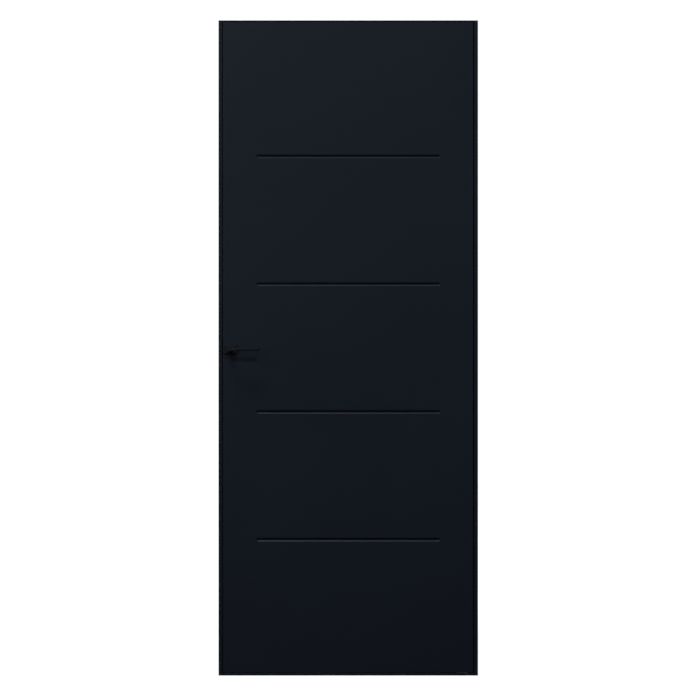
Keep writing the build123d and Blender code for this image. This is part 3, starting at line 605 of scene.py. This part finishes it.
def settle(piece, node, body, finish, angle=40):
    """Shades a finished piece, names it after its node and puts it in the node's stead."""
    make_active(piece)
    bpy.ops.object.shade_smooth_by_angle(angle=math.radians(angle))
    piece.name = node + "_made"
    piece.data.materials.clear()
    piece.data.materials.append(finish)
    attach(piece, body)
    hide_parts(node)
    corners = [v.co / MM for v in piece.data.vertices]
    low = [round(min(c[i] for c in corners), 1) for i in range(3)]
    high = [round(max(c[i] for c in corners), 1) for i in range(3)]
    cad_low, cad_high = ([round(v / MM, 1) for v in corner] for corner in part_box(node))
    print(piece.name, len(piece.data.polygons), "faces", low, high, "CAD", cad_low, cad_high)


def set_in(master, node, body, finish, places):
    """Copies a master to (direction, point) places as one piece that stands for a CAD node."""
    copies = []
    for direction, point in places:
        copy = copy_of(master)
        copy.data.transform(Matrix.Translation(point) @ turns[direction])
        copies.append(copy)
    start_clean()
    for copy in copies:
        copy.select_set(True)
    bpy.context.view_layer.objects.active = copies[0]
    if len(copies) > 1:
        bpy.ops.object.join()
    bpy.data.objects.remove(master)
    settle(copies[0], node, body, finish)


# %% [markdown]
# The faceplate on the leaf's edge and the strike plate opposite it are each held by two
# countersunk screws, one above and one below the bolt. The long ones go into the wooden stile,
# the short ones into the metal jamb. Where they sit is read from the box of the CAD node, so they
# follow it.

# %% Screws of the lock edge and of the strike
def ends(node, axis, inset):
    """The centres of the first and last of a row of equal screws, along one axis of their box.

    The inset from the ends of the box is the radius of a head.
    """
    low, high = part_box(node)
    middle = (low + high) / 2
    points = []
    for value in (low[axis] + inset * MM, high[axis] - inset * MM):
        point = middle.copy()
        point[axis] = value
        points.append(point)
    return points


lock_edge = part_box("faceplate")[0].x
edge_places = [("right", Vector((lock_edge, 0, p.z))) for p in ends("faceplate_screws", 2, 3.6)]
edge_screw = countersunk("edge_screw", shank=2.0, head=3.6, length=25.0, pitch=1.8)
set_in(edge_screw, "faceplate_screws", "leaf", black_plate, edge_places)

strike_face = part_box("strike_plate")[1].x
strike_places = [("left", Vector((strike_face, 0, p.z))) for p in ends("strike_screws", 2, 3.6)]
strike_screw = countersunk("strike_screw", shank=2.0, head=3.6, length=8.0, pitch=1.2)
set_in(strike_screw, "strike_screws", "frame", black_plate, strike_places)

# %% [markdown]
# Each pivot block is let into a corner of the leaf and held by three long screws in a row,
# because the weight of the leaf pulls sideways on both pivots. The plate below has two short
# screws, and a grub screw from the side clamps the raised pin of the upper pivot.

# %% Screws of the pivots
low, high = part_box("pivot_wood_screws")
first, last = (p.x for p in ends("pivot_wood_screws", 0, 3.6))
row = [Vector((x, (low.y + high.y) / 2, 0)) for x in (first, (first + last) / 2, last)]
block_places = [("up", p + Vector((0, 0, low.z))) for p in row]
block_places += [("down", p + Vector((0, 0, high.z))) for p in row]
block_screw = countersunk("block_screw", shank=2.0, head=3.6, length=40.0, pitch=1.8)
set_in(block_screw, "pivot_wood_screws", "leaf", zinc_plate, block_places)

plate_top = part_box("pivot_plate_screws")[1].z
plate_places = [("down", Vector((p.x, p.y, plate_top))) for p in ends("pivot_plate_screws", 0, 3.2)]
plate_screw = countersunk("plate_screw", shank=1.7, head=3.2, length=6.6, pitch=1.0)
set_in(plate_screw, "pivot_plate_screws", "frame", oiled_steel, plate_places)

low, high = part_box("pin_grub_screw")
pin_place = [("left", Vector((high.x, (low.y + high.y) / 2, (low.z + high.z) / 2)))]
pin_grub = grub("pin_grub", radius=2.0, length=(high.x - low.x) / MM, socket=2.0)
set_in(pin_grub, "pin_grub_screw", "leaf", zinc_plate, pin_place)

# %% [markdown]
# The frame's corners are drawn together from outside, through the hollow jambs into screw ports
# of the head and the sill. The roses are screwed on from each side, and three thin screws close
# the lock case. None of these heads shows once the door stands in its wall.

# %% Screws of the frame, the roses and the case
def spot(x, y, z):
    """A point or a way in millimetres."""
    return Vector((x, y, z)) * MM


# The screw ports as (y, z): two in the head, two in the sill. The heads bear on the inner walls.
ports = [(33.7, 2078.4), (33.7, 2085.6), (8, 4), (34, 4)]
inner_wall = 403.85
corner_places = [("right", spot(-inner_wall, y, z)) for y, z in ports]
corner_places += [("left", spot(inner_wall, y, z)) for y, z in ports]
corner_screw = round_headed(
    "corner_screw", shank=1.95, head=3.3, height=2.2, length=22.0, pitch=1.6
)
set_in(corner_screw, "frame_screws", "frame", zinc_plate, corner_places)

# The front rose lies on its side, the back rose stands upright, and their screws follow them.
spindle_x, spindle_z = -376.25, 1042
rose_y, far, near = 24.6, 15, 7.5
rose_places = [("back", spot(spindle_x + far * s, -rose_y, spindle_z + near * s)) for s in (-1, 1)]
rose_places += [("front", spot(spindle_x + near * s, rose_y, spindle_z + far * s)) for s in (-1, 1)]
rose_screw = round_headed("rose_screw", shank=1.75, head=3.2, height=2.4, length=15.6, pitch=1.4)
set_in(rose_screw, "rose_screws", "leaf", zinc_plate, rose_places)

case_points = [(-383.25, 1032), (-354.35, 1032), (-354.35, 1050.5)]
cover_y = -7.5
case_places = [("back", spot(x, cover_y, z)) for x, z in case_points]
case_screw = countersunk("case_screw", shank=1.25, head=2.3, length=12.0, pitch=0.9)
set_in(case_screw, "case_screws", "leaf", zinc_plate, case_places)

grub_y, grub_z = 31.4, 1033.5
grub_places = [("up", spot(spindle_x, y, grub_z)) for y in (-grub_y, grub_y)]
lever_grub = grub("lever_grub", radius=1.5, length=4.5, socket=1.5)
set_in(lever_grub, "lever_grub_screws", "handle", black_plate, grub_places)

# %% [markdown]
# ## Latch spring
# Behind the bolt's tail sits a coil of spring wire, wound with a steady pitch. A circle of wire is
# swept around the axis by a Screw modifier, as the winding machine does it. In the lock the spring
# shortens as the bolt slides in.

# %% Wind the spring
low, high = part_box("latch_spring")
wire, turns_wound = 0.38, 5
coil = (high.z - low.z) / 2 / MM - wire
pitch = ((high.x - low.x) / MM - 2 * wire) / turns_wound
start_clean()
bpy.ops.mesh.primitive_circle_add(
    vertices=8,
    radius=wire * MM,
    location=(low.x + wire * MM, 0, coil * MM),
    rotation=(math.radians(90), 0, 0),
)
spring = bpy.context.object
bpy.ops.object.transform_apply(location=True, rotation=True, scale=True)
winding = spring.modifiers.new("winding", "SCREW")
winding.axis = "X"
winding.angle = 2 * math.pi
winding.screw_offset = pitch * MM
winding.iterations = turns_wound
winding.steps = winding.render_steps = 24
bpy.ops.object.modifier_apply(modifier="winding")
bpy.ops.object.mode_set(mode="EDIT")
bpy.ops.mesh.select_all(action="SELECT")
bpy.ops.mesh.remove_doubles(threshold=0.005 * MM)
bpy.ops.mesh.fill_holes(sides=12)
turn_outward()
axis_y, axis_z = (low.y + high.y) / 2, (low.z + high.z) / 2
spring.data.transform(Matrix.Translation((0, axis_y, axis_z)))
settle(spring, "latch_spring", "leaf", spring_steel)
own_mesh(spring)

# %% [markdown]
# ## Lever
# The lever is one casting: a round collar that turns in the rose, and a bar that leaves it,
# bends away from the leaf and then runs along it, 50 mm off the face. Its section is 10 by 10.5
# mm, crisp along the top and rounded below, where the fingers close. So the section is drawn
# first and then led along the path, by extruding where it runs straight and by spinning where it
# bends.

# %% Draw the section and lead it along the path
bar_depth, bar_height = 10, 10.5
neck_y, first_end_y, bar_y = -30, -33.098, -70
first_radius, second_radius = 12, 14
second_x, tip_x = 31.13, 96

start_clean()
bpy.ops.mesh.primitive_plane_add(size=1, rotation=(math.radians(90), 0, 0))
lever = bpy.context.object
lever.scale = (bar_depth * MM, bar_height * MM, 1)
lever.location = spot(spindle_x, neck_y, spindle_z)
bpy.ops.object.transform_apply(location=True, rotation=True, scale=True)
# The corners are rounded by 0.6 mm at the top and by 3 mm at the bottom.
for rounding, segments, side in ((0.6, 3, 1), (3.0, 6, -1)):
    bpy.ops.object.mode_set(mode="EDIT")
    bpy.ops.mesh.select_mode(type="VERT")
    bpy.ops.mesh.select_all(action="DESELECT")
    bpy.ops.object.mode_set(mode="OBJECT")
    edge_z = spindle_z + side * bar_height / 2
    for corner in lever.data.vertices:
        corner.select = abs(corner.co.z / MM - edge_z) < 0.01
    bpy.ops.object.mode_set(mode="EDIT")
    bpy.ops.mesh.bevel(offset=rounding * MM, segments=segments, affect="VERTICES")
bpy.ops.mesh.select_mode(type="FACE")
bpy.ops.mesh.select_all(action="SELECT")
neck = spot(0, first_end_y - neck_y, 0)
bpy.ops.mesh.extrude_region_move(TRANSFORM_OT_translate={"value": neck})
first_bend = math.radians(36.03)
first_centre = spot(spindle_x + first_radius, first_end_y, spindle_z)
bpy.ops.mesh.spin(steps=6, angle=-first_bend, center=first_centre, axis=(0, 0, 1))
slant = spot(17.512, -24.076, 0)
bpy.ops.mesh.extrude_region_move(TRANSFORM_OT_translate={"value": slant})
second_bend = math.radians(90) - first_bend
second_centre = spot(spindle_x + second_x, bar_y + second_radius, spindle_z)
bpy.ops.mesh.spin(steps=8, angle=-second_bend, center=second_centre, axis=(0, 0, 1))
bar = spot(tip_x - second_x, 0, 0)
bpy.ops.mesh.extrude_region_move(TRANSFORM_OT_translate={"value": bar})
bpy.ops.object.mode_set(mode="OBJECT")
tip = [v.co / MM for v in lever.data.vertices if v.select]
print("tip face at x", round(tip[0].x, 2), "y", round(sum(p.y for p in tip) / len(tip), 2))

# %% [markdown]
# The tip's edges get a fine chamfer. The collar is a turned ring with a rounded shoulder, joined
# on by a boolean, and two more booleans drill the square hole for the spindle and the hole of the
# grub screw.

# %% Finish the tip, the collar and the holes
bpy.ops.object.mode_set(mode="EDIT")
bpy.ops.mesh.region_to_loop()
bpy.ops.mesh.bevel(offset=0.5 * MM, segments=1, affect="EDGES")
bpy.ops.mesh.select_mode(type="VERT")
turn_outward()

# Steps of (radius, height), down from the leaf's face: a neck inside the rose, then the collar.
shoulder = [(9 + math.cos(a), -12.9 - math.sin(a)) for a in (0, 0.4, 0.8, 1.2, math.pi / 2)]
collar = turned("collar", [(8, -1), (8, -8.9), (10, -8.9), *shoulder], 64)
face_y, square, socket_depth = -20, 8.1, 13.1
collar.data.transform(Matrix.Translation(spot(spindle_x, face_y, spindle_z)) @ turns["front"])
cut(lever, collar, "UNION")
socket_middle = (spindle_x, face_y - socket_depth / 2, spindle_z)
cut(lever, bar_tool((square, socket_depth, square), socket_middle))
start_clean()
bpy.ops.mesh.primitive_cylinder_add(
    vertices=24, radius=1.55 * MM, depth=12 * MM, location=spot(spindle_x, -grub_y, spindle_z - 9)
)
cut(lever, bpy.context.object)

# %% [markdown]
# The lever on the other face is its mirror image: a copy is mirrored across the middle of the
# leaf, and its normals are turned outward again.

# %% Two levers
other = copy_of(lever)
other.data.transform(Matrix.Scale(-1, 4, (0, 1, 0)))
make_active(other)
bpy.ops.object.mode_set(mode="EDIT")
turn_outward()
settle(lever, "front_lever", "handle", handle_lacquer, 30)
settle(other, "back_lever", "handle", handle_lacquer, 30)

# %% [markdown]
# ## Softened edges
# No real edge is knife sharp: an extrusion leaves its die with a radius of a few tenths of a
# millimetre, a stamped plate is tumbled, and lacquer draws back from a milled edge and rounds it.
# These thin roundings catch the light along the bars and the grooves. So each of these solids is
# copied, its copy's loose corners are merged and its flat faces are cleaned, and then its sharp
# edges are bevelled. Normals weighted by area keep the flat faces flat to the light, so that only
# the roundings turn.

# %% Soften the sharp edges of a copy
def open_edges(piece):
    """How many edges aren't shared by exactly two faces."""
    shared = {}
    for face in piece.data.polygons:
        for key in face.edge_keys:
            shared[key] = shared.get(key, 0) + 1
    return sum(1 for count in shared.values() if count != 2)


def soften(node, body, finish, width_mm):
    """A copy of a CAD node with its sharp edges bevelled by a width, put in the node's stead."""
    source = nodes[node]
    piece = copy_of(source)
    piece.parent = None
    piece.data.transform(source.matrix_world)
    piece.matrix_world = Matrix.Identity(4)
    make_active(piece)
    bpy.ops.object.mode_set(mode="EDIT")
    bpy.ops.mesh.select_mode(type="VERT")
    bpy.ops.mesh.select_all(action="SELECT")
    bpy.ops.mesh.remove_doubles(threshold=0.01 * MM)
    bpy.ops.mesh.dissolve_degenerate(threshold=0.005 * MM)
    bpy.ops.mesh.select_all(action="SELECT")
    bpy.ops.mesh.dissolve_limited(angle_limit=math.radians(0.5))
    bpy.ops.mesh.select_mode(type="EDGE")
    bpy.ops.mesh.select_all(action="DESELECT")
    bpy.ops.mesh.edges_select_sharp(sharpness=math.radians(35))
    bpy.ops.mesh.bevel(offset=width_mm * MM, segments=2, clamp_overlap=True)
    bpy.ops.mesh.select_mode(type="VERT")
    bpy.ops.mesh.select_all(action="SELECT")
    bpy.ops.mesh.remove_doubles(threshold=0.002 * MM)
    turn_outward()
    print(node, "open edges", open_edges(piece))
    settle(piece, node, body, finish)
    weighted = piece.modifiers.new("flat faces stay flat", "WEIGHTED_NORMAL")
    weighted.weight = 100
    weighted.keep_sharp = True
    bpy.ops.object.modifier_apply(modifier=weighted.name)


# %% [markdown]
# The extruded bars get the widest rounding, 0.3 mm, and the lacquered skins a little less.
# Stamped plates and the lock case are thinner and crisper, and the bolt is rounded where it
# slides over the strike.

# %% Bars of the frame, skins and fittings
for name in frame_bars:
    soften(name, "frame", frame_coat, 0.3)
for name in ("front_skin", "back_skin"):
    soften(name, "leaf", leaf_lacquer, 0.25)
soften("strike_plate", "frame", black_plate, 0.15)
soften("faceplate", "leaf", black_plate, 0.15)
soften("latch_bolt", "latch", nickel_plate, 0.25)
soften("lock_case", "leaf", zinc_plate, 0.15)

# %% [markdown]
# ## Floor, backdrop and world
# A pale floor and a pale backdrop read as white paper in the picture: for the camera, and for
# glossy and transmission rays that leave towards the back, they glow just above a strength of
# one. The studio in front of the door is dim, as it was for the photo, where the lacquer mirrors
# nothing bright. A share of plain diffuse in the floor keeps the door's shadow. Far from the
# door, where the lamps hardly reach, the floor glows more, so that no horizon shows.

# %% Which rays see the white background
def background_rays(tree, depth):
    """A mask: one for camera and transmission rays, and for glossy rays that look to the back."""
    path = add(tree, "ShaderNodeLightPath")
    behind = add(tree, "ShaderNodeMapRange", {"Value": depth, "From Min": 0.1, "From Max": 0.6})
    mirrored = add(
        tree,
        "ShaderNodeMath",
        {0: path.outputs["Is Glossy Ray"], 1: behind.outputs["Result"]},
        operation="MULTIPLY",
    )
    direct = add(
        tree,
        "ShaderNodeMath",
        {0: path.outputs["Is Camera Ray"], 1: path.outputs["Is Transmission Ray"]},
        operation="MAXIMUM",
    )
    both = add(
        tree, "ShaderNodeMath", {0: direct.outputs[0], 1: mirrored.outputs[0]}, operation="MAXIMUM"
    )
    return both.outputs[0]


# %% [markdown]
# The floor is one large plane of matt paint. Its glow is mixed with the paint by a share, and the
# share is what decides how much of the door's shadow is left. To light that falls back on the
# door the floor is a darker grey, as a real studio floor is.

# %% Floor
floor_paint, tree, shader, place = new_finish("pale floor paint")
tree.nodes.remove(shader)
seen = background_rays(tree, add(tree, "ShaderNodeSeparateXYZ", {"Vector": place}).outputs["Y"])
cast = add(
    tree, "ShaderNodeMix", {0: seen, 6: linear("#3C3C3C"), 7: linear("#E4E4E4")}, data_type="RGBA"
)
plain = add(tree, "ShaderNodeBsdfDiffuse", {"Color": cast.outputs[2]})
light = add(tree, "ShaderNodeEmission", {"Color": (1, 1, 1, 1), "Strength": 1.17})
away = add(tree, "ShaderNodeVectorMath", {0: place}, operation="LENGTH").outputs["Value"]
glow = add(
    tree,
    "ShaderNodeMapRange",
    {"Value": away, "From Min": 3.0, "From Max": 8.0, "To Min": 0.8, "To Max": 0.9},
)
share = add(tree, "ShaderNodeMath", {0: seen, 1: glow.outputs["Result"]}, operation="MULTIPLY")
mix = add(
    tree, "ShaderNodeMixShader", {"Fac": share.outputs[0], 1: plain.outputs[0], 2: light.outputs[0]}
)
tree.links.new(mix.outputs[0], tree.nodes["Material Output"].inputs["Surface"])

start_clean()
bpy.ops.mesh.primitive_plane_add(size=60, location=(0, 0, 0))
floor = bpy.context.object
floor.name = "studio_floor"
floor.data.materials.append(floor_paint)
print("floor:", floor.name, [round(side) for side in floor.dimensions[:2]], "m")

# %% [markdown]
# The world is the rest of the room. Seen directly it is white paper; as a source of light it is
# dim, and a little brighter from above than from below, like a ceiling that the lamps reach.

# %% World
world = bpy.data.worlds.new("studio_world")
bpy.context.scene.world = world
world.use_nodes = True
sky = world.node_tree
sky.nodes.clear()
direction = add(sky, "ShaderNodeTexCoord").outputs["Generated"]
parts = add(sky, "ShaderNodeSeparateXYZ", {"Vector": direction})
level = add(
    sky,
    "ShaderNodeMapRange",
    {"Value": parts.outputs["Z"], "From Min": -0.5, "From Max": 0.8, "To Min": 0.0, "To Max": 0.06},
)
dim = add(sky, "ShaderNodeBackground", {"Color": (1, 1, 1, 1), "Strength": level.outputs["Result"]})
white = add(sky, "ShaderNodeBackground", {"Color": (1, 1, 1, 1), "Strength": 1.03})
seen = background_rays(sky, parts.outputs["Y"])
mix = add(sky, "ShaderNodeMixShader", {"Fac": seen, 1: dim.outputs[0], 2: white.outputs[0]})
add(sky, "ShaderNodeOutputWorld", {"Surface": mix.outputs[0]})
print("world:", len(sky.nodes), "nodes")

# %% [markdown]
# ## Lamps
# The handle's shadow in the photo falls 33 mm below the bar and 13 mm to its left, and the bar
# stands 50 mm off the leaf. So the key stands in front, 33 degrees up and 15 degrees to the
# right. It is kept out of reflections, as a photographer does it with a polarising filter,
# because satin lacquer would turn it into a pale patch near the top right. A large softbox at the
# left gives the lighter left side, and two lamps high above the door give the bright lower flanks
# of the grooves and the fall of light from top to bottom. One more lamp, behind the door, is only
# for views of its back.

# %% Lamps
def lamp(name, place, aim, size, power):
    data = bpy.data.lights.new(name, "AREA")
    data.shape = "RECTANGLE"
    data.size, data.size_y = size
    data.energy = power
    light = bpy.data.objects.new(name, data)
    bpy.context.scene.collection.objects.link(light)
    light.location = place
    light.rotation_euler = (Vector(aim) - Vector(place)).to_track_quat("-Z", "Y").to_euler()
    print(name, power, "W,", round(math.dist(place, aim), 1), "m away")
    return light


key = lamp("key_softbox", (0.77, -4.2, 3.78), (-0.3, 0, 1.05), (0.4, 0.4), 112)
key.visible_glossy = False
lamp("side_softbox", (-3.0, -3.0, 2.6), (-0.2, 0, 1.2), (2.6, 2.6), 105)
lamp("overhead_softbox", (-1.3, -1.6, 4.8), (0, 0, 1.0), (1.4, 0.9), 62)
lamp("high_softbox", (-0.8, -3.2, 9.5), (0, 0, 1.0), (1.6, 1.6), 540)
lamp("back_softbox", (-0.8, 4.2, 3.8), (0, 0, 1.05), (1.0, 1.0), 150)

# %% [markdown]
# ## View
# The Standard view shows colours as they were written.

view = bpy.context.scene.view_settings
view.view_transform = "Standard"
